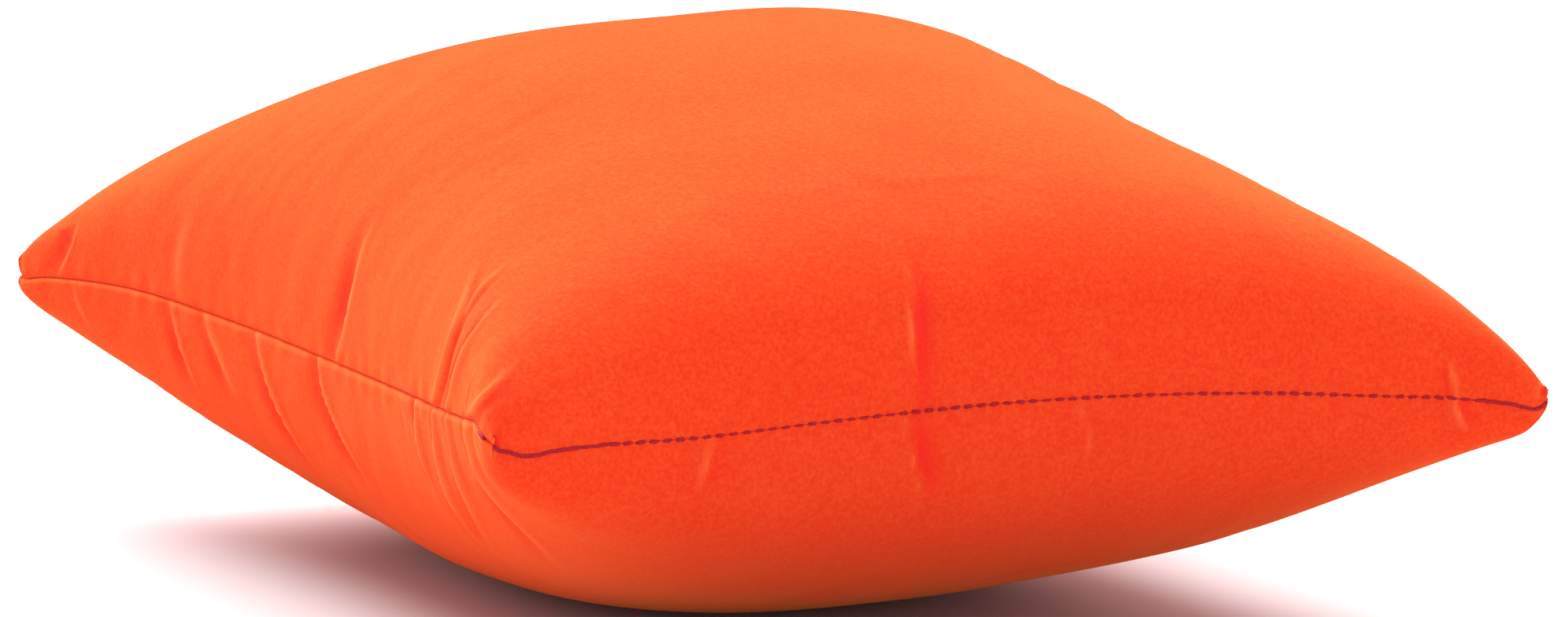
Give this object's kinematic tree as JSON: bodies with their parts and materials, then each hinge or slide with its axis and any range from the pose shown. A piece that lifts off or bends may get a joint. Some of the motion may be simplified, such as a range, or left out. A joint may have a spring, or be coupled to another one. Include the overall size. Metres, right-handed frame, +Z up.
{
  "type": "camp pillow",
  "caption": "Stuffed knife-edge camp pillow: two brushed fabric panels sewn round the rim, dark closing stitches on one end, layered fibre filling.",
  "frame": {"origin": "middle of the flat patch on the underside that the pillow rests on", "axes": "+Z up through the crown, Y along the pillow's length with the stitched closing end at -Y, X across the closing end"},
  "size_m": [0.3, 0.39, 0.1572],
  "materials": {
    "top_cloth": "brushed matt orange polyester",
    "bottom_cloth": "brushed matt orange polyester",
    "closing_thread": "dark red twisted polyester thread",
    "seam_thread": "rust red machine thread",
    "fibre_batt": "white bonded fibre wadding",
    "loose_fibre": "white loose hollow fibre"
  },
  "bodies": {
    "cushion": {"bottom_panel": "bottom_cloth", "lower_fill_batt": "fibre_batt", "core_fill": "loose_fibre", "front_closing_thread": "closing_thread", "left_seam_thread": "seam_thread", "right_seam_thread": "seam_thread", "back_seam_thread": "seam_thread"},
    "crown": {"top_panel": "top_cloth", "upper_fill_batt": "fibre_batt"}
  },
  "joints": [
    {"name": "crown_press", "type": "slide", "parent": "cushion", "child": "crown", "axis": [0, 0, -1], "range_m": [0, 0.04], "stiffness_N_per_m": 1100, "springref_m": -0.004, "deforming": ["top_panel", "upper_fill_batt", "core_fill"]}
  ]
}
